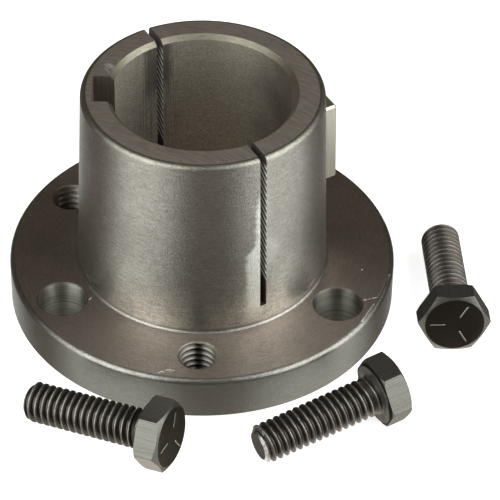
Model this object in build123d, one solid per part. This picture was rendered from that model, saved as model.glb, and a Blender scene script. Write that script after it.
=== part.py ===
import os
from math import atan, cos, degrees, radians, sin, sqrt, tan

from build123d import *

# All lengths are millimetres. The origin is where the bore axis meets the back face of the flange, and +Z
# runs up the barrel. Angles about that axis are degrees from the front, -Y, counted towards +X.

# Bore, 1-3/8 in, and the keyway broached along it for a 5/16 in square shaft key
bore_diameter = 34.925
bore_mouth_chamfer = 0.9
keyway_width = 7.9375
keyway_side_height = 3.96875
keyway_top_clearance = 0.127
keyway_angle = -90

# Tapered barrel, widest where it leaves the flange: 1-15/16 in across there, less 3/4 in per foot
barrel_wall_at_root = 7.14375
barrel_length = 39.6875
diameter_lost_per_length = 0.0625
barrel_root_fillet = 0.6
nose_edge_radius = 1.1
barrel_root_diameter = bore_diameter + 2 * barrel_wall_at_root

# Flange, 3 in across, which rests on its back face. All its holes are on one 2-7/16 in circle
flange_thickness = 9.525
flange_front_edge_radius = 1.1
flange_back_edge_chamfer = 0.5
barrel_to_hole_centres = 6.35
hole_centres_to_rim = 7.14375
clearance_hole_angles = (-60, 60, 180)
tapped_hole_angles = (0, -120)
bolt_circle_diameter = barrel_root_diameter + 2 * barrel_to_hole_centres
flange_diameter = bolt_circle_diameter + 2 * hole_centres_to_rim
overall_length = flange_thickness + barrel_length

# One saw cut across the nose splits both walls of the barrel and stops above the flange
slit_width = 1.35
slit_stop_above_flange = 4.4
slit_angle = 30

# Outside key, 5/16 in square, half sunk in a seat that is milled parallel to the taper
key_width = 7.9375
key_height = 7.9375
key_length = 18.0
key_sunk = 3.96875
key_foot_above_flange = 10.65
key_edge_chamfer = 0.4
key_angle = 120

# Hex cap screws, 5/16-18 by 1 in
thread_diameter = 7.9375
thread_pitch = 1.4111
screw_length = 25.4
screw_tip_chamfer = 0.87
neck_fillet = 0.4
head_across_flats = 12.7
head_height = 5.16
head_top_inset = 0.32
head_chamfer_angle = 30
washer_face_inset = 0.45
washer_face_thickness = 0.4

# The flange's holes follow the screws' thread
screw_to_hole_clearance = 0.79375
clearance_hole_edge_break = 0.2
countersink_beyond_thread = 0.05
clearance_hole_diameter = thread_diameter + 2 * screw_to_hole_clearance
tap_drill_diameter = thread_diameter - thread_pitch
countersink_diameter = thread_diameter + 2 * countersink_beyond_thread

# Where the screws lie: how far each bearing face is out from the rim, at what angle, and where its tip
# points
left_screw_out_from_rim = 11.0
left_screw_angle = -10.6
left_screw_heading = -114.1
front_screw_out_from_rim = 11.9
front_screw_angle = 41.8
front_screw_heading = -60.8
right_screw_out_from_rim = 12.8
right_screw_angle = 75.7
right_screw_heading = 183.2

# How far a cutting shape runs past the metal it cuts
cut_overrun = 2.0

upright = (Align.CENTER, Align.CENTER, Align.MIN)


def around(radius, angle, height=0):
    """The point at a radius and angle about the bore axis."""
    return (radius * sin(radians(angle)), -radius * cos(radians(angle)), height)


def barrel_radius(height):
    """Outside radius of the barrel at a height above the flange's back face."""
    return barrel_root_diameter / 2 - (height - flange_thickness) * diameter_lost_per_length / 2


def corner(outline, radius, height):
    """The outline's corner nearest to a radius and height."""
    return outline.vertices().sort_by_distance((radius, height))[0]


def turned(outline):
    """An outline of radius and height, spun about Z."""
    return revolve(Plane.XZ * outline, Axis.Z)


def turned_blank():
    """Flange and tapered barrel turned and bored in one piece."""
    bore_radius = bore_diameter / 2
    root_radius = barrel_root_diameter / 2
    nose_radius = barrel_radius(overall_length)
    flange_radius = flange_diameter / 2
    outline = make_face(
        Polyline(
            (bore_radius, 0),
            (flange_radius, 0),
            (flange_radius, flange_thickness),
            (root_radius, flange_thickness),
            (nose_radius, overall_length),
            (bore_radius, overall_length),
            close=True,
        )
    )
    mouths = [corner(outline, bore_radius, height) for height in (0, overall_length)]
    outline = chamfer(mouths, bore_mouth_chamfer)
    outline = chamfer([corner(outline, flange_radius, 0)], flange_back_edge_chamfer)
    outline = fillet([corner(outline, flange_radius, flange_thickness)], flange_front_edge_radius)
    outline = fillet([corner(outline, nose_radius, overall_length)], nose_edge_radius)
    outline = fillet([corner(outline, root_radius, flange_thickness)], barrel_root_fillet)
    return turned(outline)


def bore_keyway():
    """Straight keyway through the whole bore, as deep as a standard square key asks for."""
    side_at = sqrt((bore_diameter / 2) ** 2 - (keyway_width / 2) ** 2)
    floor_at = side_at + keyway_side_height + keyway_top_clearance
    length = overall_length + 2 * cut_overrun
    slot = Box(keyway_width, floor_at, length, align=(Align.CENTER, Align.MAX, Align.MIN))
    return Rot(0, 0, keyway_angle) * Pos(0, 0, -cut_overrun) * slot


def saw_cut():
    """One straight cut through both walls of the barrel."""
    stop = flange_thickness + slit_stop_above_flange
    across = barrel_root_diameter + 2 * cut_overrun
    cut = Box(slit_width, across, overall_length - stop + cut_overrun, align=upright)
    return Rot(0, 0, slit_angle) * Pos(0, 0, stop) * cut


def key_plane():
    """Lies on the barrel at the key's foot: X up the taper, Z straight out of it."""
    height = flange_thickness + key_foot_above_flange
    slope = atan(diameter_lost_per_length / 2)
    out = Vector(*around(1, key_angle))
    up = Vector(0, 0, 1)
    return Plane(
        origin=around(barrel_radius(height), key_angle, height),
        x_dir=up * cos(slope) - out * sin(slope),
        z_dir=out * cos(slope) + up * sin(slope),
    )


def keyseat():
    """End-milled seat: its straight stretch takes the key and its ends are half round."""
    outline = Pos(key_length / 2, 0) * SlotCenterToCenter(key_length, key_width)
    return key_plane() * Pos(0, 0, -key_sunk) * extrude(outline, key_sunk + cut_overrun)


def external_key():
    """Square key stock, cut off square, with all its edges broken."""
    blank = Box(key_length, key_width, key_height, align=(Align.MIN, Align.CENTER, Align.MIN))
    return key_plane() * Pos(0, 0, -key_sunk) * chamfer(blank.edges(), key_edge_chamfer)


def hole(diameter, mouth_diameter):
    """Hole through the flange with both mouths opened at 45 degrees."""
    radius, mouth_radius = diameter / 2, mouth_diameter / 2
    drill = Cylinder(radius, flange_thickness, align=upright)
    back_mouth = Cone(mouth_radius, radius, mouth_radius - radius, align=upright)
    front_mouth = Pos(0, 0, flange_thickness) * Rot(180, 0, 0) * back_mouth
    return drill + back_mouth + front_mouth


def flange_holes():
    """Clearance holes for the screws, and tapped holes that push the bushing out again."""
    clearance = hole(clearance_hole_diameter, clearance_hole_diameter + 2 * clearance_hole_edge_break)
    tapped = hole(tap_drill_diameter, countersink_diameter)
    radius = bolt_circle_diameter / 2
    return [Pos(*around(radius, angle)) * clearance for angle in clearance_hole_angles] + [
        Pos(*around(radius, angle)) * tapped for angle in tapped_hole_angles
    ]


def bushing():
    return turned_blank() - [bore_keyway(), saw_cut(), keyseat(), *flange_holes()]


def screw_head():
    """Hexagon with a chamfered top at -Z and a raised washer face that bears on Z = 0."""
    corner_radius = head_across_flats / 2 / cos(radians(30))
    top_radius = head_across_flats / 2 - head_top_inset
    chamfer_depth = (corner_radius - top_radius) * tan(radians(head_chamfer_angle))
    hexagon = RegularPolygon(corner_radius, 6, rotation=30)
    prism = Pos(0, 0, -head_height) * extrude(hexagon, head_height - washer_face_thickness)
    crown = turned(
        make_face(
            Polyline(
                (0, -head_height),
                (top_radius, -head_height),
                (corner_radius, chamfer_depth - head_height),
                (corner_radius, 0),
                (0, 0),
                close=True,
            )
        )
    )
    washer_radius = head_across_flats / 2 - washer_face_inset
    washer_face = Cylinder(washer_radius, washer_face_thickness, align=upright)
    return (prism & crown) + Pos(0, 0, -washer_face_thickness) * washer_face


def upright_screw():
    """Head below, thread above, with a chamfered tip and a filleted neck."""
    radius = thread_diameter / 2
    shank = Cylinder(radius, screw_length, align=upright)
    tip_edge = shank.edges().sort_by_distance((radius, 0, screw_length))[0]
    screw = screw_head() + chamfer([tip_edge], screw_tip_chamfer)
    neck = screw.edges().sort_by_distance((radius, 0, 0))[0]
    return fillet([neck], neck_fillet)


def cap_screw(out_from_rim, angle, heading):
    """A screw at rest on one flat of its head and the end of its thread."""
    full_thread_end = screw_length - screw_tip_chamfer
    drop = (head_across_flats - thread_diameter) / 2
    tilt = atan(drop / (full_thread_end + washer_face_thickness))
    lift = head_across_flats / 2 * cos(tilt) - washer_face_thickness * sin(tilt)
    place = around(flange_diameter / 2 + out_from_rim, angle, lift)
    return Pos(*place) * Rot(0, 0, heading - 90) * Rot(0, 90 + degrees(tilt), 0) * upright_screw()


pieces = {
    "bushing": bushing(),
    "external_key": external_key(),
    "cap_screw_left": cap_screw(left_screw_out_from_rim, left_screw_angle, left_screw_heading),
    "cap_screw_front": cap_screw(front_screw_out_from_rim, front_screw_angle, front_screw_heading),
    "cap_screw_right": cap_screw(right_screw_out_from_rim, right_screw_angle, right_screw_heading),
}

os.makedirs("parts", exist_ok=True)
for name, piece in pieces.items():
    piece.label = name
    export_step(piece, f"parts/{name}.step")
    print(name, round(piece.volume), "mm3")
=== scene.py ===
from math import atan, cos, pi, radians, sin, tan

import bmesh
import bpy
from mathutils import Matrix, Vector


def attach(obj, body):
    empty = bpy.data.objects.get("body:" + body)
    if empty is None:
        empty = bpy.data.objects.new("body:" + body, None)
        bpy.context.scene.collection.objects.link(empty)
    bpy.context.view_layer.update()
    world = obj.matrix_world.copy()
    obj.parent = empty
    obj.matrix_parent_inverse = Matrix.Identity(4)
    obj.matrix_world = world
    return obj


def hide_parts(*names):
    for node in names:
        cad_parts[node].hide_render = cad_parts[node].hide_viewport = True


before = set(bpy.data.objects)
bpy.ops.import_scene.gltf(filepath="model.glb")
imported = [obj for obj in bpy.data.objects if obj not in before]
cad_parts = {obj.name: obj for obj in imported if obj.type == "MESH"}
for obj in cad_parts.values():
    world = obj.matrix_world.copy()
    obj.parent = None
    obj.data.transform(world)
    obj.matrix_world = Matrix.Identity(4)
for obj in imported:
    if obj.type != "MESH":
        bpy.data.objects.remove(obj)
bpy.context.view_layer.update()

mm = 0.001
bpy.ops.object.select_all(action="DESELECT")
bpy.context.scene.view_settings.view_transform = "Standard"


# Shader maths: a wire is one output of a material's node, and sums of wires add their Math nodes

class Wire:
    def __init__(self, finish, socket):
        self.finish = finish
        self.socket = socket

    def __add__(self, other):
        return self.finish.math("ADD", self, other)

    def __radd__(self, other):
        return self.finish.math("ADD", other, self)

    def __sub__(self, other):
        return self.finish.math("SUBTRACT", self, other)

    def __rsub__(self, other):
        return self.finish.math("SUBTRACT", other, self)

    def __mul__(self, other):
        return self.finish.math("MULTIPLY", self, other)

    def __rmul__(self, other):
        return self.finish.math("MULTIPLY", other, self)

    def __truediv__(self, other):
        return self.finish.math("DIVIDE", self, other)

    def __pow__(self, other):
        return self.finish.math("POWER", self, other)


class Finish:
    def __init__(self, name, world=None):
        self.material = world or bpy.data.materials.new(name)
        self.material.use_nodes = True
        self.tree = self.material.node_tree
        self.shader = self.tree.nodes.get("Principled BSDF")

    # any node: its type, what is set on it, its inputs by name or number, and which output is wanted
    def add(self, kind, settings=None, inputs=None, output=0):
        node = self.tree.nodes.new(kind)
        for name, value in (settings or {}).items():
            if name == "stops":
                ramp = node.color_ramp.elements
                while len(ramp) < len(value):
                    ramp.new(1)
                for element, (place, colour) in zip(ramp, value):
                    element.position = place
                    element.color = (*colour, 1)
            else:
                setattr(node, name, value)
        for name, value in (inputs or {}).items():
            self.plug(node.inputs[name], value)
        return Wire(self, node.outputs[output])

    def plug(self, socket, value):
        if isinstance(value, Wire):
            self.tree.links.new(value.socket, socket)
        elif socket.type == "RGBA" and len(value) == 3:
            socket.default_value = (*value, 1)
        else:
            socket.default_value = value

    def place(self):
        return self.add("ShaderNodeTexCoord", output="Object")

    def xyz(self, vector):
        return [self.add("ShaderNodeSeparateXYZ", inputs={0: vector}, output=axis) for axis in "XYZ"]

    def vector(self, x, y, z):
        return self.add("ShaderNodeCombineXYZ", inputs={0: x, 1: y, 2: z})

    def noise(self, vector, scale, detail, roughness):
        sockets = {"Vector": vector, "Scale": scale, "Detail": detail, "Roughness": roughness}
        return self.add("ShaderNodeTexNoise", inputs=sockets, output="Fac")

    def vectorMath(self, operation, a, b, output=0):
        return self.add("ShaderNodeVectorMath", {"operation": operation}, {0: a, 1: b}, output)

    # 0 below low, 1 above high, and smooth between
    def step(self, value, low, high):
        sockets = {"Value": value, "From Min": low, "From Max": high}
        return self.add("ShaderNodeMapRange", {"interpolation_type": "SMOOTHSTEP"}, sockets)

    def mix(self, factor, a, b):
        return self.add("ShaderNodeMix", {"data_type": "RGBA"}, {0: factor, 6: a, 7: b}, output=2)

    def mixValue(self, factor, a, b):
        return self.add("ShaderNodeMix", {"data_type": "FLOAT"}, {0: factor, 2: a, 3: b})

    def math(self, operation, a, b=0.0):
        return self.add("ShaderNodeMath", {"operation": operation}, {0: a, 1: b})

    def bump(self, height, distance, normal=None):
        sockets = {"Height": height, "Distance": distance, "Strength": 1.0}
        if normal:
            sockets["Normal"] = normal
        return self.add("ShaderNodeBump", inputs=sockets)

    # 1 on a straight scratch from start to end, both in mm, and 0 away from it
    def scratch(self, place, start, end, width):
        start, end = Vector(start) * mm, Vector(end) * mm
        along = end - start
        offset = self.vectorMath("SUBTRACT", place, start)
        share = self.vectorMath("DOT_PRODUCT", offset, along / along.length_squared, 1)
        share = self.add("ShaderNodeClamp", inputs={0: share})
        nearest = self.add("ShaderNodeVectorMath", {"operation": "SCALE"}, {0: along, 3: share})
        distance = self.vectorMath("DISTANCE", offset, nearest, 1)
        return 1.0 - self.step(distance, 0.3 * width * mm, width * mm)

    # 1 on any of the scratches
    def scratches(self, place, scratches):
        marks = self.scratch(place, *scratches[0])
        for scratch in scratches[1:]:
            marks = self.math("MAXIMUM", marks, self.scratch(place, *scratch))
        return marks

    # 1 where a value is a whole number, and 0 at the next ones
    def chosen(self, value, whole):
        above = self.step(value, whole + 0.1, whole + 0.5)
        return self.step(value, whole - 0.5, whole - 0.1) * (1.0 - above)

    def shade(self, **sockets):
        for name, value in sockets.items():
            self.plug(self.shader.inputs[name.replace("_", " ")], value)
        return self.material


# Modelling helpers

def finishEdit():
    bpy.ops.object.mode_set(mode="OBJECT")


def pickEdges(piece, test):
    # selects, in edit mode, the edges that pass the test
    bpy.ops.mesh.select_all(action="DESELECT")
    bpy.ops.mesh.select_mode(type="EDGE")
    mesh = bmesh.from_edit_mesh(piece.data)
    for edge in mesh.edges:
        edge.select_set(test(edge))
    bmesh.update_edit_mesh(piece.data)


def activate(piece):
    bpy.ops.object.select_all(action="DESELECT")
    piece.select_set(True)
    bpy.context.view_layer.objects.active = piece


def outline(name, points):
    # a plane merged to one vertex, which is then pulled from point to point in the XZ plane
    bpy.ops.object.select_all(action="DESELECT")
    bpy.ops.mesh.primitive_plane_add(size=1 * mm, location=(0, 0, 0))
    piece = bpy.context.object
    piece.name = piece.data.name = name
    bpy.ops.object.mode_set(mode="EDIT")
    bpy.ops.mesh.select_mode(type="VERT")
    bpy.ops.mesh.select_all(action="SELECT")
    bpy.ops.mesh.merge(type="CENTER")
    x, z = points[0]
    bpy.ops.transform.translate(value=(x, 0, z))
    for nextX, nextZ in points[1:]:
        bpy.ops.mesh.extrude_vertices_move(
            TRANSFORM_OT_translate={"value": (nextX - x, 0, nextZ - z)}
        )
        x, z = nextX, nextZ
    return piece


def turned(name, points, steps, rounded=()):
    # an outline whose chosen corners are bevelled (x, z, size, segments), spun about Z into a closed solid
    piece = outline(name, points)
    bpy.ops.mesh.select_all(action="SELECT")
    bpy.ops.mesh.remove_doubles(threshold=1e-7)
    for x, z, size, segments in rounded:
        bpy.ops.mesh.select_mode(type="VERT")
        bpy.ops.mesh.select_all(action="DESELECT")
        mesh = bmesh.from_edit_mesh(piece.data)
        nearest = min(mesh.verts, key=lambda vertex: (vertex.co - Vector((x, 0, z))).length)
        nearest.select_set(True)
        bmesh.update_edit_mesh(piece.data)
        bpy.ops.mesh.bevel(offset=size, segments=segments, affect="VERTICES", clamp_overlap=False)
    bpy.ops.mesh.select_all(action="SELECT")
    bpy.ops.mesh.spin(steps=steps, angle=2 * pi, center=(0, 0, 0), axis=(0, 0, 1))
    bpy.ops.mesh.select_all(action="SELECT")
    bpy.ops.mesh.remove_doubles(threshold=1e-7)
    bpy.ops.mesh.normals_make_consistent(inside=False)
    finishEdit()
    return piece


def carve(piece, tool, operation="DIFFERENCE"):
    # what the tool cuts takes the tool's own material
    modifier = piece.modifiers.new("carve", "BOOLEAN")
    modifier.operation = operation
    modifier.solver = "EXACT"
    modifier.material_mode = "TRANSFER"
    modifier.object = tool
    activate(piece)
    bpy.ops.object.modifier_apply(modifier=modifier.name)
    bpy.data.objects.remove(tool)


def moved(piece, location=(0, 0, 0), turn=0):
    # puts a finished shape in its place, with the place in its mesh
    activate(piece)
    piece.rotation_euler = (0, 0, turn)
    piece.location = location
    bpy.ops.object.transform_apply(location=True, rotation=True, scale=True)
    return piece


def block(name, size, centre):
    bpy.ops.object.select_all(action="DESELECT")
    bpy.ops.mesh.primitive_cube_add(size=1, location=centre)
    piece = bpy.context.object
    piece.name = piece.data.name = name
    piece.scale = size
    bpy.ops.object.transform_apply(location=True, rotation=True, scale=True)
    return piece


def around(radius, angle, height=0.0):
    # angles run from the front, -Y, towards +X
    return Vector((radius * sin(radians(angle)), -radius * cos(radians(angle)), height))


def dressed(piece, material):
    piece.data.materials.clear()
    piece.data.materials.append(material)
    return piece


def paint(piece, material, test):
    # gives one more material to the faces whose middle and normal pass the test
    piece.data.materials.append(material)
    slot = len(piece.data.materials) - 1
    for face in piece.data.polygons:
        if face.material_index == 0 and test(face.center, face.normal):
            face.material_index = slot


# Helical thread: one pitch of its outline is screwed up the axis, then both ends are sliced flat

thread = {
    "radius": 3.88 * mm,
    "pitch": 1.4111 * mm,
    "depth": 0.82 * mm,
    "crest": 0.16 * mm,
    "crestRound": 0.07 * mm,
    "root": 0.26 * mm,
    "steps": 72,
}


def helix(name, radius, depth, low, high):
    pitch = thread["pitch"]
    crest, root, soft = thread["crest"] / 2, thread["root"] / 2, thread["crestRound"]
    start = low - 2 * pitch
    turns = int((high - low) / pitch) + 4
    middle = pitch / 2
    heights = [0, root, middle - crest - soft, middle - crest, middle + crest, middle + crest + soft,
               pitch - root, pitch]
    radii = [radius - part for part in (depth, depth, soft, 0, 0, soft, depth, depth)]
    piece = outline(name, [(x, start + z) for x, z in zip(radii, heights)])
    finishEdit()
    modifier = piece.modifiers.new("helix", "SCREW")
    modifier.axis = "Z"
    modifier.angle = 2 * pi
    modifier.screw_offset = pitch
    modifier.iterations = turns
    modifier.steps = modifier.render_steps = thread["steps"]
    modifier.use_merge_vertices = False
    activate(piece)
    bpy.ops.object.modifier_apply(modifier=modifier.name)
    bpy.ops.object.mode_set(mode="EDIT")
    bpy.ops.mesh.select_all(action="SELECT")
    bpy.ops.mesh.remove_doubles(threshold=1e-6)
    for height, side in ((low, -1), (high, 1)):
        bpy.ops.mesh.select_all(action="SELECT")
        bpy.ops.mesh.bisect(plane_co=(0, 0, height), plane_no=(0, 0, side), use_fill=True,
                            clear_outer=True, threshold=1e-7)
    bpy.ops.mesh.select_all(action="SELECT")
    bpy.ops.mesh.normals_make_consistent(inside=False)
    finishEdit()
    return piece


# Finishes

steel = {
    # the bright metal of each surface, and what darkens it
    "barrel": (0.268, 0.250, 0.226),
    # the barrel's foot brightens to this: a painted reflection of the flange
    "root": (0.485, 0.458, 0.408),
    "edge": (0.205, 0.194, 0.176),
    "flange": (0.352, 0.298, 0.262),
    # the rim's metal is the barrel's darkened: painted shade
    "rim": (0.142, 0.143, 0.125),
    "bore": (0.74, 0.66, 0.57),
    "ring": (0.475, 0.408, 0.362),
    "mouth": (0.205, 0.188, 0.140),
    "nose": (0.215, 0.203, 0.170),
    # the edge breaks' metal is darkened: painted shade that keeps their highlight faint
    "break": (0.052, 0.047, 0.041),
    "hole": (0.44, 0.42, 0.37),
    # the right clearance hole's metal is a darker copy of the hole's: painted shade
    "holeRightShaded": (0.31, 0.294, 0.255),
    # the front tapped hole's metal is a darker copy and the back one's a lighter copy of one tapped steel:
    # painted shade and painted light
    "tapped": (0.120, 0.114, 0.102),
    "tappedBackLit": (0.285, 0.250, 0.220),
    "rubbed": (0.60, 0.58, 0.53),
    "brown": (0.115, 0.092, 0.078),
    # oily is also the colour of the painted shade deep in the holes and in the thread's root
    "oily": (0.045, 0.036, 0.030),
    # noise scales, and how deep the marks are
    "grooves": 2700,
    "grooveDepth": 0.014 * mm,
    "speckle": 3000,
    "speckleDepth": 0.060 * mm,
    "clouds": 85,
    "flaws": 1500,
    # the ring was ground in arcs of one radius, which run at one angle, and lapped across them
    "ground": 4600,
    "grindAngle": 25,
    "grindRadius": 70 * mm,
    "lapped": 2600,
    # heights in mm between which a painted reflection of the flange brightens the barrel's foot and fades
    # again
    "footReflectionFrom": (10.1, 10.8),
    "footReflectionTo": (11, 28),
    # dents and scratches on the flange: start and end in mm, and width
    "nicks": [
        ((36.95, -6.2, 9.1), (34.6, -13.3, 9.2), 0.42),
        ((33.8, -15.3, 9.3), (31.3, -20.3, 9.3), 0.32),
        ((31.9, -14.2, 9.5), (34.3, -13.4, 9.5), 0.16),
        ((-21.6, -15.6, 9.5), (-21.2, -14.9, 9.5), 0.12),
        ((-8.3, -36.2, 9.5), (-4.9, -34.9, 9.5), 0.11),
        ((-7.4, -36.0, 9.5), (-5.6, -35.0, 9.5), 0.11),
        ((-6.6, -35.9, 9.5), (-4.4, -35.2, 9.5), 0.10),
        ((31.6, -5.3, 9.5), (31.7, -5.1, 9.5), 0.15),
    ],
    # light scratches on the ring beside the keyway
    "scores": [
        ((-19.0, 7.8, 49.2), (-18.1, 6.5, 49.2), 0.09),
        ((-18.6, 8.2, 49.2), (-17.5, 6.5, 49.2), 0.11),
        ((-18.0, 8.1, 49.2), (-16.8, 6.0, 49.2), 0.09),
        ((-18.9, 6.5, 49.2), (-17.9, 4.8, 49.2), 0.08),
        ((-17.6, 6.2, 49.2), (-16.8, 5.0, 49.2), 0.08),
        ((-16.6, 9.3, 49.2), (-15.8, 8.4, 49.2), 0.08),
    ],
}


# bright patches that wear against the hub left on both sides of the front slit, in mm
rubs = {
    # heights between which both fade in and out again
    "foot": (11, 16),
    "top": (38, 45),
    # how wide the left one is, how much wider low down and how much narrower near the top
    "left": 1.6,
    "leftWider": 1.9,
    "widerBelow": (26.5, 29.5),
    "leftNarrower": 1.2,
    "narrowerAbove": (36, 43),
    # the right one is fainter, and widest at one height
    "right": 0.9,
    "rightBulge": 2.6,
    "bulgeHeight": 27.0,
    "bulgeReach": (0.4, 5.0),
    "rightShare": 0.28,
    # how ragged and how soft their outer edges are
    "raggedScale": 900,
    "ragged": 1.7,
    "leftSoft": 0.7,
    "rightSoft": 1.6,
}


def acrossSlit(x, y):
    # mm from the slit's middle plane, towards +X at the front
    turn = radians(bushing["slitAngle"])
    return (x * cos(turn) + y * sin(turn)) / mm


def rubbedPatches(finish, x, y, z):
    # 1 on the patches and 0 away from them
    high, across = z / mm, acrossSlit(x, y)
    edge = finish.noise(finish.vector(x * 0.4, y * 0.4, z), rubs["raggedScale"], 2.0, 0.6)
    ragged = (edge - 0.5) * rubs["ragged"]
    left = rubs["left"] + rubs["leftWider"] * (1.0 - finish.step(high, *rubs["widerBelow"]))
    left = left - rubs["leftNarrower"] * finish.step(high, *rubs["narrowerAbove"])
    leftMark = 1.0 - finish.step(0.0 - across - left + ragged, -rubs["leftSoft"], rubs["leftSoft"])
    away = finish.math("ABSOLUTE", high - rubs["bulgeHeight"])
    right = rubs["right"] + rubs["rightBulge"] * (1.0 - finish.step(away, *rubs["bulgeReach"]))
    rightMark = 1.0 - finish.step(across - right + ragged, -rubs["rightSoft"], rubs["rightSoft"])
    mark = finish.mixValue(finish.step(across, -0.2, 0.2), leftMark, rubs["rightShare"] * rightMark)
    mark = mark * finish.step(0.0 - y, 0.0, 1 * mm)
    return mark * (1.0 - finish.step(high, *rubs["top"])) * finish.step(high, *rubs["foot"])


def turnedSteel(name, colour, roughness=0.38, anisotropy=0.5, stained=0.3, rubAndFootReflection=False, nicks=False,
                grainy=1.0):
    finish = Finish(name)
    place = finish.place()
    x, y, z = finish.xyz(place)
    radius = (x * x + y * y) ** 0.5
    lathe = finish.vector(x * 0.22, y * 0.22, radius + z)
    grooves = finish.noise(lathe, steel["grooves"], 2.0, 0.6)
    speckle = finish.noise(place, steel["speckle"], 2.0, 0.7)
    clouds = finish.noise(place, steel["clouds"], 3.0, 0.6)
    if rubAndFootReflection:
        # painted reflection of the flange on the barrel's foot
        foot = finish.step(z / mm, *steel["footReflectionFrom"]) - finish.step(z / mm, *steel["footReflectionTo"])
        colour = finish.mix(foot, colour, steel["root"])
    tone = finish.mix(finish.step(clouds, 0.42, 0.72) * stained, colour, steel["brown"])
    grain = finish.step(speckle, 0.36, 0.64) * 0.38 + finish.step(grooves, 0.34, 0.66) * 0.28
    tone = finish.mix(grain * grainy, tone, steel["brown"])
    rough = roughness + (speckle - 0.5) * 0.22 + (clouds - 0.5) * 0.12
    if rubAndFootReflection:
        mark = rubbedPatches(finish, x, y, z)
        tone = finish.mix(mark * (0.55 + 0.45 * finish.step(speckle, 0.35, 0.65)), tone, steel["rubbed"])
        rough = rough + mark * 0.06 - foot * 0.05
    metallic = 1.0
    if nicks:
        broken = finish.step(finish.noise(place, steel["flaws"], 2.0, 0.7), 0.38, 0.54)
        marks = finish.scratches(place, steel["nicks"]) * broken
        tone = finish.mix(marks, tone, steel["rubbed"])
        metallic = 1.0 - 0.75 * marks
    normal = finish.bump(grooves, steel["grooveDepth"])
    normal = finish.bump(speckle, steel["speckleDepth"] * grainy, normal)
    return finish.shade(Base_Color=tone, Metallic=metallic, Roughness=rough, Normal=normal,
                        Anisotropic=anisotropy, Anisotropic_Rotation=0.25)


bored = {
    "rings": 3200,
    "ringDepth": 0.010 * mm,
    "speckleDepth": 0.040 * mm,
    # mm: where the scored patch is from the back slit's middle, and how it ends to both sides and below
    "scoredAt": -0.6,
    "scoredReach": (2.0, 7.0),
    "scoredAbove": (14, 34),
    # its darker part near the top
    "topReach": (2.0, 4.0),
    "topAbove": (34, 41),
    # mm along +X between which a brown stain with painted shade thickens, darkening that side of the bore
    "stainAndShade": (7, 17),
    "stainScale": 160,
}


def boredSteel(name):
    # finely bored, and scored up and down beside the back slit
    finish = Finish(name)
    place = finish.place()
    x, y, z = finish.xyz(place)
    across = acrossSlit(x, y)
    rings = finish.noise(finish.vector(x * 0.12, y * 0.12, z), bored["rings"], 2.0, 0.6)
    speckle = finish.noise(place, steel["speckle"], 2.0, 0.7)
    streaks = finish.noise(finish.vector(across, 0.0, z * 22), 2.6, 3.0, 0.75)
    aside = finish.math("ABSOLUTE", across - bored["scoredAt"])
    top = finish.step(z / mm, *bored["topAbove"]) * (1.0 - finish.step(aside, *bored["topReach"]))
    patch = finish.step(y, 0.0, 1 * mm) * (1.0 - finish.step(aside, *bored["scoredReach"]))
    patch = patch * finish.step(z / mm, *bored["scoredAbove"]) * (0.4 + 0.3 * top)
    tone = finish.mix(finish.step(speckle, 0.34, 0.62) * 0.40 + finish.step(rings, 0.3, 0.7) * 0.14,
                      steel["bore"], steel["brown"])
    tone = finish.mix(patch * finish.step(streaks + top * 0.12, 0.42, 0.58), tone, steel["oily"])
    # a brown stain with painted shade, darker towards +X
    cloudy = (finish.noise(place, bored["stainScale"], 2.0, 0.5) - 0.5) * 6.0
    tone = finish.mix(finish.step(x / mm + cloudy, *bored["stainAndShade"]) * 0.75, tone, steel["brown"])
    rough = 0.50 + (speckle - 0.5) * 0.2
    normal = finish.bump(rings, bored["ringDepth"])
    normal = finish.bump(speckle, bored["speckleDepth"], normal)
    return finish.shade(Base_Color=tone, Metallic=1.0, Roughness=rough, Normal=normal)


drilled = {
    "fineRings": 3600,
    # heights in mm between which the painted shade near the back face fades out
    "shadeUpTo": (2.5, 6.5),
    # radii in mm between which a tapped hole's thread reaches its root
    "threadRoot": (3.46, 3.74),
}


def drilledSteel(name, colour, roughness, feed, depth=0.03 * mm, shaded=0.0, tappedAt=None):
    # rings that the drill or the tap left around each hole, and painted shade that darkens it near the
    # back face
    finish = Finish(name)
    place = finish.place()
    x, y, z = finish.xyz(place)
    rings = finish.noise(finish.vector(x * 0.01, y * 0.01, z), feed, 1.0, 0.5)
    fine = finish.noise(finish.vector(x * 0.02, y * 0.02, z), drilled["fineRings"], 1.0, 0.5)
    speckle = finish.noise(place, steel["speckle"], 2.0, 0.6)
    tone = finish.mix(finish.step(rings, 0.40, 0.62) * 0.5, colour, steel["brown"])
    # painted shade, darker towards the back face
    tone = finish.mix(shaded - shaded * finish.step(z / mm, *drilled["shadeUpTo"]), tone, steel["oily"])
    if tappedAt is not None:
        # painted shade in the thread's root
        axis = around(bushing["boltCircle"], tappedAt)
        out = ((x - axis.x) ** 2 + (y - axis.y) ** 2) ** 0.5
        tone = finish.mix(finish.step(out / mm, *drilled["threadRoot"]) * 0.9, tone, steel["oily"])
    rough = roughness + (speckle - 0.5) * 0.16
    normal = finish.bump(fine, depth)
    return finish.shade(Base_Color=tone, Metallic=1.0, Roughness=rough, Normal=normal,
                        Anisotropic=0.85, Anisotropic_Rotation=0.25)


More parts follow.
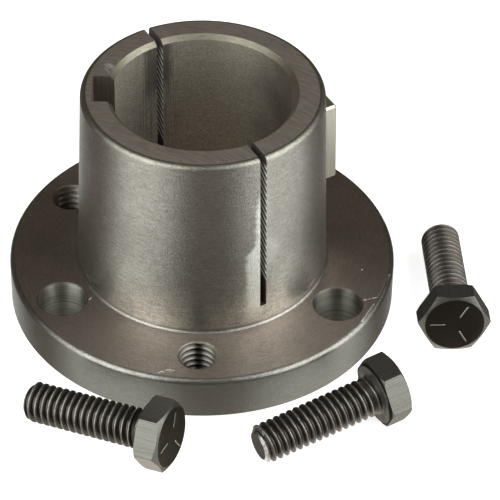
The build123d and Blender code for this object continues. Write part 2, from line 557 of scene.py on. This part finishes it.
def groundSteel(name):
    finish = Finish(name)
    place = finish.place()
    x, y, z = finish.xyz(place)
    turn = radians(steel["grindAngle"])
    along = x * cos(turn) - y * sin(turn)
    across = x * sin(turn) + y * cos(turn)
    swirl = (along * along + (across + steel["grindRadius"]) ** 2) ** 0.5
    lines = finish.noise(finish.vector(along * 0.06, swirl, z), steel["ground"], 3.0, 0.7)
    cross = finish.noise(finish.vector(x - y, (x + y) * 0.06, z), steel["lapped"], 2.0, 0.7)
    speckle = finish.noise(place, steel["speckle"], 2.0, 0.7)
    tone = finish.mix(finish.step(lines, 0.36, 0.66) * 0.42, steel["ring"], steel["brown"])
    tone = finish.mix(finish.step(cross, 0.60, 0.74) * 0.45, tone, steel["rubbed"])
    marks = finish.scratches(place, steel["scores"])
    tone = finish.mix(marks * 0.75, tone, steel["rubbed"])
    rough = 0.46 + (speckle - 0.5) * 0.2
    normal = finish.bump(lines, steel["grooveDepth"])
    return finish.shade(Base_Color=tone, Metallic=1.0 - 0.4 * marks, Roughness=rough, Normal=normal)


broaching = {
    "strokes": 1500,
    "strokeDepth": 0.02 * mm,
    "clean": (0.31, 0.255, 0.213),
    "oily": (0.215, 0.175, 0.146),
}


def broachedSteel(name):
    # dark oily stock with the broach's strokes up and down
    finish = Finish(name)
    place = finish.place()
    x, y, z = finish.xyz(place)
    strokes = finish.noise(finish.vector(x, y, z * 0.03), broaching["strokes"], 3.0, 0.6)
    tone = finish.mix(finish.step(strokes, 0.35, 0.65), broaching["clean"], broaching["oily"])
    normal = finish.bump(strokes, broaching["strokeDepth"])
    return finish.shade(Base_Color=tone, Metallic=1.0, Roughness=0.45, Normal=normal)


saw = {
    "strokes": 205.0,
    "slant": 0.6,
    # heights in mm between which the marks begin at the front wall and end at both, and how much higher
    # they begin at the back wall
    "foot": (19.5, 20.5),
    "mouth": (46.5, 47.5),
    "footLift": 5.0,
    "dark": (0.046, 0.033, 0.027),
    "bright": (0.74, 0.71, 0.65),
}


def sawnSteel(name):
    # slanting saw marks, which end above the slit's dark foot and below its mouth
    finish = Finish(name)
    place = finish.place()
    x, y, z = finish.xyz(place)
    turn = radians(bushing["slitAngle"])
    forward = x * sin(turn) - y * cos(turn)
    slanted = finish.vector(0.0, 0.0, z + forward * saw["slant"])
    hatch = finish.add("ShaderNodeTexWave", {"wave_type": "BANDS", "bands_direction": "Z"},
                       {"Vector": slanted, "Scale": saw["strokes"], "Distortion": 0.0}, output="Fac")
    foot = z / mm - finish.step(y, 0.0, 1 * mm) * saw["footLift"]
    sharp = finish.step(hatch, 0.55, 0.85) * finish.step(foot, *saw["foot"])
    sharp = sharp * (1.0 - finish.step(z / mm, *saw["mouth"]))
    tone = finish.mix(sharp, saw["dark"], saw["bright"])
    return finish.shade(Base_Color=tone, Metallic=0.25, Roughness=0.6)


oxide = {
    "film": (0.041, 0.033, 0.026),
    "deep": (0.026, 0.022, 0.019),
    "thread": (0.046, 0.037, 0.031),
    "edgeTint": (0.61, 0.59, 0.565),
    "side": (0.092, 0.086, 0.076),
    "bright": (0.36, 0.345, 0.315),
    "speckle": 3800,
    "clouds": 420,
    "drawn": 5200,
    "drawnDepth": 0.012 * mm,
    # heights in mm, from the bearing face up the thread, between which thread and head's top begin
    "threadAbove": (-0.2, 0.2),
    "crownBelow": (-5.09, -5.0),
}

# which part of a screw a face is on; 0 is all the rest
worn = {"crest": 1, "side": 2, "mark": 3, "tip": 4}


def blackOxide(name):
    # "wear" says which part of the screw a face is on, and "upright" where it was before it was laid down
    finish = Finish(name)
    place = finish.place()
    upright = finish.add("ShaderNodeAttribute", {"attribute_name": "upright"}, output="Vector")
    wear = finish.add("ShaderNodeAttribute", {"attribute_name": "wear"}, output="Fac")
    x, y, z = finish.xyz(upright)
    speckle = finish.noise(place, oxide["speckle"], 2.0, 0.6)
    clouds = finish.noise(place, oxide["clouds"], 3.0, 0.6)
    drawn = finish.noise(finish.vector(x, y, z * 0.02), oxide["drawn"], 2.0, 0.6)
    patchy = finish.step(clouds * 0.6 + speckle * 0.4, 0.40, 0.58)
    crest, side, mark, tip = [finish.chosen(wear, part) for part in worn.values()]
    crest = crest * (0.25 + 0.75 * patchy)
    tone = finish.mix(finish.step(speckle, 0.3, 0.75), oxide["film"], oxide["deep"])
    tone = finish.mix(finish.step(z / mm, *oxide["threadAbove"]) * 0.7, tone, oxide["thread"])
    tone = finish.mix(side * (0.62 + 0.38 * finish.step(drawn, 0.34, 0.60)), tone, oxide["side"])
    scuffed = finish.math("MAXIMUM", crest * 0.37, mark * 0.6)
    scuffed = finish.math("MAXIMUM", scuffed, tip * (0.15 + 0.75 * patchy))
    tone = finish.mix(scuffed, tone, oxide["bright"])
    rough = 0.38 - side * 0.06 + (speckle - 0.5) * 0.24
    normal = finish.bump(drawn, side * oxide["drawnDepth"])
    normal = finish.bump(speckle, oxide["drawnDepth"], normal)
    crown = 1.0 - finish.step(z / mm, *oxide["crownBelow"])
    return finish.shade(Base_Color=tone, Metallic=0.85 + 0.15 * crown, Roughness=rough, Normal=normal,
                        Specular_Tint=oxide["edgeTint"])


keyStock = {
    "bright": (0.405, 0.370, 0.308),
    "dull": (0.24, 0.212, 0.172),
    "speckle": 4600,
    "drawn": 2600,
    "drawnDepth": 0.008 * mm,
}


def keySteel(name):
    finish = Finish(name)
    place = finish.place()
    x, y, z = finish.xyz(place)
    drawn = finish.noise(finish.vector(x, y, z * 0.03), keyStock["drawn"], 2.0, 0.6)
    speckle = finish.noise(place, keyStock["speckle"], 2.0, 0.6)
    tone = finish.mix(finish.step(drawn, 0.3, 0.7) * 0.4, keyStock["bright"], keyStock["dull"])
    rough = 0.42 + (speckle - 0.5) * 0.2
    normal = finish.bump(drawn, keyStock["drawnDepth"])
    return finish.shade(Base_Color=tone, Metallic=1.0, Roughness=rough, Normal=normal)


# Bushing: turned in one piece, then drilled, tapped, sawn, broached and milled like the real one

bushing = {
    "boreRadius": 17.4625 * mm,
    "boreMouth": 0.9 * mm,
    "rootRadius": 24.60625 * mm,
    "noseRadius": 23.3661 * mm,
    "height": 49.2125 * mm,
    "rootFillet": 0.6 * mm,
    "noseEdge": 1.1 * mm,
    "flangeRadius": 38.1 * mm,
    "flangeThickness": 9.525 * mm,
    "flangeEdge": 1.1 * mm,
    "backEdge": 0.5 * mm,
    "boltCircle": 30.95625 * mm,
    "clearanceRadius": 4.7625 * mm,
    "clearanceBreak": 0.2 * mm,
    "clearanceAngles": (-60, 60, 180),
    "tappedAngles": (0, -120),
    "countersink": 4.01875 * mm,
    "countersinkSlope": 0.6,
    "tapRadius": 3.96875 * mm,
    "tapDepth": 0.66 * mm,
    "slitWidth": 1.35 * mm,
    "slitStop": 13.925 * mm,
    "slitAngle": 30,
    "keywayWidth": 7.9375 * mm,
    "keywayFloor": 21.1006 * mm,
    "overrun": 2 * mm,
    "steps": 288,
    "holeSteps": 96,
    "smoothBelow": 28,
}

turnedMetal = turnedSteel("turned_steel", steel["barrel"], rubAndFootReflection=True, nicks=True)
flangeMetal = turnedSteel("turned_flange_steel", steel["flange"], roughness=0.42, nicks=True, grainy=0.7)
rimShadedMetal = turnedSteel("turned_rim_shaded_steel", steel["rim"], roughness=0.34, stained=0.2)
noseMetal = turnedSteel("turned_nose_steel", steel["nose"], roughness=0.40, anisotropy=0.2)
edgeMetal = turnedSteel("turned_edge_steel", steel["edge"], roughness=0.36, nicks=True)
mouthMetal = turnedSteel("turned_mouth_steel", steel["mouth"], roughness=0.48, anisotropy=0.2, stained=0.5)
breakShadedMetal = turnedSteel("edge_break_shaded_steel", steel["break"], roughness=0.45, anisotropy=0.0)
boredMetal = boredSteel("bored_steel")
drilledMetal = drilledSteel("drilled_steel", steel["hole"], roughness=0.42, feed=3300)
# a darker copy for the right clearance hole: painted shade
drilledRightShadedMetal = drilledSteel("drilled_right_shaded_steel", steel["holeRightShaded"], roughness=0.42, feed=2400)
# the front tapped hole gets a darker copy and the back one a lighter copy: painted shade and painted light
tappedShadedMetal = drilledSteel("tapped_shaded_steel", steel["tapped"], roughness=0.33, feed=2600, depth=0.02 * mm,
                           shaded=0.6, tappedAt=bushing["tappedAngles"][0])
tappedBackLitMetal = drilledSteel("tapped_back_lit_steel", steel["tappedBackLit"], roughness=0.50, feed=2600,
                               depth=0.02 * mm, shaded=0.3)
groundMetal = groundSteel("ground_steel")
broachedMetal = broachedSteel("broached_steel")
sawnMetal = sawnSteel("sawn_steel")


def turnedBlank():
    size = bushing
    bore, flange, root = size["boreRadius"], size["flangeRadius"], size["rootRadius"]
    nose, top, thick = size["noseRadius"], size["height"], size["flangeThickness"]
    corners = [(bore, 0), (flange, 0), (flange, thick), (root, thick), (nose, top), (bore, top), (bore, 0)]
    rounded = [
        (bore, 0, size["boreMouth"], 1),
        (bore, top, size["boreMouth"], 1),
        (flange, 0, size["backEdge"], 1),
        (flange, thick, size["flangeEdge"], 8),
        (root, thick, size["rootFillet"], 6),
        (nose, top, size["noseEdge"], 8),
    ]
    return turned("bushing", corners, size["steps"], rounded)


def clearanceDrill(metal):
    size = bushing
    radius, edge, over = size["clearanceRadius"], size["clearanceBreak"], size["overrun"]
    top = size["flangeThickness"]
    points = [
        (0, -over), (radius + edge + over, -over), (radius, edge), (radius, top - edge),
        (radius + edge + over, top + over), (0, top + over),
    ]
    drill = dressed(turned("drill", points, size["holeSteps"]), metal)
    # the edge breaks take their painted shade
    paint(drill, breakShadedMetal, lambda middle, normal: abs(normal.z) > 0.3)
    return drill


def tap(metal):
    # full thread through the flange, opened at both mouths by a countersink
    size = bushing
    top, over = size["flangeThickness"], size["overrun"]
    mouth, slope = size["countersink"], size["countersinkSlope"]
    cutter = dressed(helix("tap", size["tapRadius"], size["tapDepth"], -over, top + over), metal)
    for height, side in ((0, -1), (top, 1)):
        inner, outer = height - side * mouth * slope, height + side * over * slope
        cone = [(0, inner), (mouth, height), (mouth + over, outer), (0, outer)]
        carve(cutter, dressed(turned("countersink", cone, size["holeSteps"]), mouthMetal), "UNION")
    return cutter


def sawBlade():
    size = bushing
    height = size["height"] - size["slitStop"] + size["overrun"]
    across = 2 * (size["rootRadius"] + size["overrun"])
    blade = block("saw", (size["slitWidth"], across, height), (0, 0, size["slitStop"] + height / 2))
    return moved(blade, turn=radians(size["slitAngle"]))


def broach():
    size = bushing
    height = size["height"] + 2 * size["overrun"]
    depth = size["keywayFloor"]
    return block("broach", (depth, size["keywayWidth"], height), (-depth / 2, 0, size["height"] / 2))


key = {
    "size": 7.9375 * mm,
    "length": 18 * mm,
    "sunk": 3.96875 * mm,
    "foot": 20.175 * mm,
    "angle": 120,
    "taper": 1 / 32,
}

keyMetal = keySteel("key_steel")


def keyPlane():
    # X up the taper, Y across, Z straight out of the barrel
    slope = atan(key["taper"])
    out = around(1, key["angle"])
    up = Vector((0, 0, 1))
    axisX = up * cos(slope) - out * sin(slope)
    axisZ = out * cos(slope) + up * sin(slope)
    axisY = axisZ.cross(axisX)
    foot = bushing["rootRadius"] - (key["foot"] - bushing["flangeThickness"]) * key["taper"]
    place = Matrix((axisX, axisY, axisZ)).transposed().to_4x4()
    place.translation = around(foot, key["angle"], key["foot"])
    return place


def endMill():
    # the seat's straight stretch takes the key, and its ends are half round
    height = key["sunk"] + bushing["overrun"]
    middle = -key["sunk"] + height / 2
    cutter = block("end mill", (key["length"], key["size"], height), (key["length"] / 2, 0, middle))
    for end in (0, key["length"]):
        bpy.ops.object.select_all(action="DESELECT")
        bpy.ops.mesh.primitive_cylinder_add(vertices=64, radius=key["size"] / 2, depth=height,
                                            location=(end, 0, middle))
        carve(cutter, bpy.context.object, "UNION")
    cutter.matrix_world = keyPlane()
    return cutter


def makeBushing():
    piece = dressed(turnedBlank(), turnedMetal)
    size = bushing
    bore, top, flange = size["boreRadius"], size["height"], size["flangeRadius"]
    mouth, edge, near = bore + size["boreMouth"], flange - size["flangeEdge"], 0.1 * mm
    # the blank's own faces, each by the tool that made it
    paint(piece, mouthMetal, lambda middle, normal: middle.xy.length < mouth and 0.3 < abs(normal.z) < 0.9)
    paint(piece, boredMetal, lambda middle, normal: middle.xy.length < bore + near)
    paint(piece, groundMetal, lambda middle, normal: middle.z > top - 0.01 * mm and normal.z > 0.99)
    paint(piece, noseMetal, lambda middle, normal: middle.z > top - 0.8 * size["noseEdge"])
    # the flange's rim takes its painted shade
    paint(piece, rimShadedMetal,
          lambda middle, normal: normal.xy.length > 0.98 and middle.xy.length > flange - near)
    paint(piece, flangeMetal, lambda middle, normal: middle.z > 1 * mm and normal.z > 0.99)
    paint(piece, edgeMetal, lambda middle, normal: middle.xy.length > edge and middle.z > 5 * mm)
    for angle, metal in zip(size["clearanceAngles"], (drilledMetal, drilledRightShadedMetal, drilledMetal)):
        carve(piece, moved(clearanceDrill(metal), around(size["boltCircle"], angle)))
    for angle, metal in zip(size["tappedAngles"], (tappedShadedMetal, tappedBackLitMetal)):
        carve(piece, moved(tap(metal), around(size["boltCircle"], angle)))
    print("bushing: holes drilled and tapped")
    carve(piece, dressed(sawBlade(), sawnMetal))
    carve(piece, dressed(broach(), broachedMetal))
    carve(piece, dressed(endMill(), turnedMetal))
    activate(piece)
    bpy.ops.object.shade_smooth_by_angle(angle=radians(size["smoothBelow"]))
    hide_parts("bushing")
    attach(piece, "root")
    piece.name = "bushing_turned"
    print("bushing:", len(piece.data.polygons), "faces")


makeBushing()


# Hex cap screw: modelled once, upright, and laid three times on the floor

screw = {
    "length": 24.9 * mm,
    "tipChamfer": 1.0 * mm,
    "tipRadius": 2.75 * mm,
    "acrossFlats": 12.45 * mm,
    "headHeight": 5.10 * mm,
    "topInset": 0.46 * mm,
    "headChamfer": 30,
    "edgeSoft": 0.10 * mm,
    "washerInset": 0.32 * mm,
    "washerThickness": 0.4 * mm,
    "neckFillet": 0.4 * mm,
    "neckRadius": 3.62 * mm,
    "neck": 0.9 * mm,
    "runOut": 2.2 * mm,
    "tickHeight": 0.12 * mm,
    "tickWidth": 0.30 * mm,
    "tickFrom": 1.9 * mm,
    "tickTo": 4.8 * mm,
    "tickAngles": (90, 210, 330),
    "underChamfer": 0.35 * mm,
    "washerSoft": 0.08 * mm,
    "washerSunk": 0.2 * mm,
    "steps": 96,
    "smoothBelow": 26,
    # node: how far the bearing face is out from the rim, at what angle, and where the tip points
    "lying": {
        "cap_screw_left": (11.0 * mm, -10.6, -114.1),
        "cap_screw_front": (11.9 * mm, 41.8, -60.8),
        "cap_screw_right": (12.8 * mm, 75.7, 183.2),
    },
}

oxideMetal = blackOxide("black_oxide_steel")


def screwShank():
    radius, depth, length = thread["radius"], thread["depth"], screw["length"]
    sunk = -screw["washerThickness"] / 2
    shank = helix("shank", radius, depth, -screw["washerThickness"], length + 1 * mm)
    envelope = turned("envelope", [
        (0, sunk), (radius, sunk), (radius, length - screw["tipChamfer"]), (screw["tipRadius"], length),
        (0, length),
    ], screw["steps"])
    carve(shank, envelope, "INTERSECT")
    # the groove runs out before the head
    neck, fillet, full = screw["neckRadius"], screw["neckFillet"], screw["neck"] + screw["runOut"]
    core = turned("core", [
        (0, 1.5 * sunk), (neck + fillet, 1.5 * sunk), (neck + fillet, 0),
        (neck + 0.3 * fillet, 0.3 * fillet), (neck, fillet), (neck, screw["neck"]),
        (radius - depth - 0.1 * mm, full), (0, full),
    ], screw["steps"])
    carve(shank, core, "UNION")
    return shank


def screwHead():
    flats, height, washer = screw["acrossFlats"] / 2, screw["headHeight"], screw["washerThickness"]
    corner = flats / cos(radians(30))
    bpy.ops.object.select_all(action="DESELECT")
    bpy.ops.mesh.primitive_cylinder_add(vertices=6, radius=corner, depth=height - washer,
                                        location=(0, 0, -(height + washer) / 2))
    head = bpy.context.object
    head.name = "head"
    bpy.ops.object.transform_apply(location=True, rotation=True, scale=True)
    bpy.ops.object.mode_set(mode="EDIT")
    pickEdges(head, lambda edge: abs(edge.verts[0].co.z - edge.verts[1].co.z) > 1 * mm)
    bpy.ops.mesh.bevel(offset=screw["edgeSoft"], segments=2, affect="EDGES")
    finishEdit()
    top = flats - screw["topInset"]
    drop = (corner - top) * tan(radians(screw["headChamfer"]))
    under, soft = screw["underChamfer"], screw["edgeSoft"]
    crown = turned("crown", [
        (0, -height), (top - soft, -height), (top, 0.2 * soft - height),
        (top + soft * cos(radians(30)), soft * sin(radians(30)) - height), (corner, drop - height),
        (corner, -washer - under), (corner - 1.6 * under, -washer), (0, -washer),
    ], 2 * screw["steps"])
    carve(head, crown, "INTERSECT")
    bearing, sunk, soft = flats - screw["washerInset"], -washer - screw["washerSunk"], screw["washerSoft"]
    disc = turned("washer", [
        (0, sunk), (bearing, sunk), (bearing, -soft), (bearing - soft, 0), (0, 0),
    ], screw["steps"])
    carve(head, disc, "UNION")
    start, end = screw["tickFrom"], screw["tickTo"]
    for angle in screw["tickAngles"]:
        tick = block("tick", (end - start, screw["tickWidth"], 2 * screw["tickHeight"]),
                     ((start + end) / 2, 0, -height))
        bpy.ops.object.mode_set(mode="EDIT")
        bpy.ops.mesh.select_all(action="SELECT")
        bpy.ops.mesh.bevel(offset=0.4 * screw["tickHeight"], segments=1, affect="EDGES")
        finishEdit()
        carve(head, moved(tick, turn=radians(angle)), "UNION")
    return head


def uprightScrew():
    piece = screwShank()
    carve(piece, screwHead(), "UNION")
    piece.name = "screw"
    return dressed(piece, oxideMetal)


def rememberWear(piece):
    # the bearing face is as worn as the thread's crests
    radius, height, washer = thread["radius"], screw["headHeight"], screw["washerThickness"]
    upright = piece.data.attributes.new("upright", "FLOAT_VECTOR", "POINT")
    for vertex in piece.data.vertices:
        upright.data[vertex.index].vector = vertex.co
    wear = piece.data.attributes.new("wear", "FLOAT", "FACE")
    for face in piece.data.polygons:
        middle, normal = face.center, face.normal
        reach = middle.xy.length
        part = None
        if middle.z > screw["length"] - screw["tipChamfer"] and normal.z > 0.3 and reach > 0.6 * radius:
            part = "tip"
        elif middle.z > -0.1 * mm and normal.z > 0.9 and reach > screw["neckRadius"]:
            part = "crest"
        elif middle.z > 0:
            part = "crest" if reach > radius - 1.2 * thread["crestRound"] else None
        elif middle.z < -height - 0.01 * mm:
            part = "mark"
        elif middle.z < 0.02 * mm - washer and abs(normal.z) < 0.95:
            part = "side"
        wear.data[face.index].value = worn.get(part, 0)


def laid(master, node, outFromRim, angle, heading):
    activate(master)
    bpy.ops.object.duplicate()
    piece = bpy.context.object
    fullEnd = screw["length"] - screw["tipChamfer"]
    washer, half = screw["washerThickness"], screw["acrossFlats"] / 2
    tilt = atan((half - thread["radius"]) / (fullEnd + washer))
    lift = half * cos(tilt) - washer * sin(tilt)
    place = around(bushing["flangeRadius"] + outFromRim, angle, lift)
    turn = Matrix.Rotation(radians(heading - 90), 4, "Z") @ Matrix.Rotation(pi / 2 + tilt, 4, "Y")
    piece.matrix_world = Matrix.Translation(place) @ turn
    bpy.ops.object.transform_apply(location=True, rotation=True, scale=True)
    piece.name = piece.data.name = node + "_threaded"
    bpy.ops.object.shade_smooth_by_angle(angle=radians(screw["smoothBelow"]))
    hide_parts(node)
    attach(piece, "root")
    print(piece.name, len(piece.data.polygons), "faces")


def makeScrews():
    master = uprightScrew()
    rememberWear(master)
    for node, place in screw["lying"].items():
        laid(master, node, *place)
    bpy.data.objects.remove(master)


makeScrews()

dressed(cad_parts["external_key"], keyMetal)


# Stage: pale floor, soft light from both sides, and the camera

studio = {
    "floorSize": 3.0,
    "floorDrop": 0.02 * mm,
    "floorColour": (0.55, 0.55, 0.55),
    "floorGlow": 0.80,
    "shadeRadius": 37.4 * mm,
    "shadeColour": (0.60, 0.58, 0.53),
    "boreShadeColour": (0.80, 0.78, 0.74),
    # radii in mm between which one shade turns into the other
    "boreShadeEdge": (18.5, 21),
    # how bright the room is, from straight down through the horizon to straight up
    "room": [(0.0, 4.6), (0.02, 4.2), (0.06, 0.80), (0.12, 0.42), (0.20, 0.26), (0.30, 0.18), (0.5, 0.21),
             (0.67, 0.14), (0.82, 0.078), (1.0, 0.20)],
    "roomTint": (1.10, 1.0, 0.85),
    "groundTint": (1.0, 1.0, 0.96),
    "groundTop": 0.05,
    "lightTint": (0.92, 1.0, 1.0),
    # name: azimuth from the front towards +X, elevation, distance, width, height, radiance
    "lights": {
        "left low box": (-51.5, -34, 0.75, 0.68, 0.78, 1.7),
        "left high box": (-51.5, 30, 0.75, 0.68, 0.96, 5.3),
        "right low box": (70.0, -34, 0.75, 0.82, 0.78, 1.7),
        "right high box": (70.0, 30, 0.75, 0.82, 0.96, 5.6),
        "back low box": (189, -40, 0.75, 0.74, 0.50, 0.95),
        "front box": (0, 62, 0.90, 0.40, 0.16, 0.25),
    },
    "lens": 204.698,
    "distance": 571.057 * mm,
    "elevation": 40.648,
    "roll": 1.080,
    "aim": (9.623 * mm, 7.131 * mm),
}


def makeFloor():
    bpy.ops.object.select_all(action="DESELECT")
    bpy.ops.mesh.primitive_plane_add(size=studio["floorSize"], location=(0, 0, -studio["floorDrop"]))
    floor = bpy.context.object
    floor.name = "floor"
    glow = studio["floorGlow"]
    finish = Finish("pale_floor")
    dressed(floor, finish.shade(Base_Color=studio["floorColour"], Roughness=1.0,
                                Emission_Color=(glow, glow, glow), Emission_Strength=1.0))
    # the metal mirrors the soft room below its horizon and not the glowing floor
    floor.visible_glossy = False
    floor.visible_shadow = False
    # what the bores mirror is the floor's shade under the flange
    bpy.ops.object.select_all(action="DESELECT")
    bpy.ops.mesh.primitive_circle_add(vertices=96, radius=studio["shadeRadius"], fill_type="NGON",
                                      location=(0, 0, -studio["floorDrop"] / 2))
    shade = bpy.context.object
    shade.name = "floor_shade"
    finish = Finish("shaded_floor")
    x, y = finish.xyz(finish.place())[:2]
    outside = finish.step((x * x + y * y) ** 0.5 / mm, *studio["boreShadeEdge"])
    tone = finish.mix(outside, studio["boreShadeColour"], studio["shadeColour"])
    dressed(shade, finish.shade(Base_Color=tone, Roughness=1.0))


def makeLights():
    world = bpy.data.worlds.new("studio")
    world.use_nodes = True
    room = Finish("room", world)
    height = room.xyz(room.add("ShaderNodeTexCoord", output="Generated"))[2]
    stops = []
    for place, level in studio["room"]:
        tints = studio["groundTint"] if place < studio["groundTop"] else studio["roomTint"]
        stops.append((place, [level * tint for tint in tints]))
    colour = room.add("ShaderNodeValToRGB", {"stops": stops}, {"Fac": height * 0.5 + 0.5})
    room.plug(world.node_tree.nodes["Background"].inputs["Color"], colour)
    bpy.context.scene.world = world
    for name, (azimuth, elevation, distance, width, height, radiance) in studio["lights"].items():
        data = bpy.data.lights.new(name, "AREA")
        data.shape = "RECTANGLE"
        data.size, data.size_y = width, height
        data.energy = radiance * pi * width * height
        data.color = studio["lightTint"]
        light = bpy.data.objects.new(name, data)
        bpy.context.collection.objects.link(light)
        out, up = distance * cos(radians(elevation)), distance * sin(radians(elevation))
        light.location = around(out, azimuth, up)
        light.rotation_euler = light.location.to_track_quat("Z", "Y").to_euler()


def makeCamera():
    lean, roll = radians(studio["elevation"]), radians(studio["roll"])
    forward = Vector((0, cos(lean), -sin(lean)))
    right, up = Vector((1, 0, 0)), Vector((0, sin(lean), cos(lean)))
    right, up = right * cos(roll) + up * sin(roll), up * cos(roll) - right * sin(roll)
    aim = right * studio["aim"][0] + up * studio["aim"][1]
    data = bpy.data.cameras.new("camera")
    data.lens = studio["lens"]
    data.clip_start, data.clip_end = 0.01, 20
    camera = bpy.data.objects.new("camera", data)
    bpy.context.collection.objects.link(camera)
    camera.matrix_world = Matrix((right, up, -forward)).transposed().to_4x4()
    camera.location = aim - forward * studio["distance"]
    bpy.context.scene.camera = camera


makeFloor()
makeLights()
makeCamera()
print("stage ready")
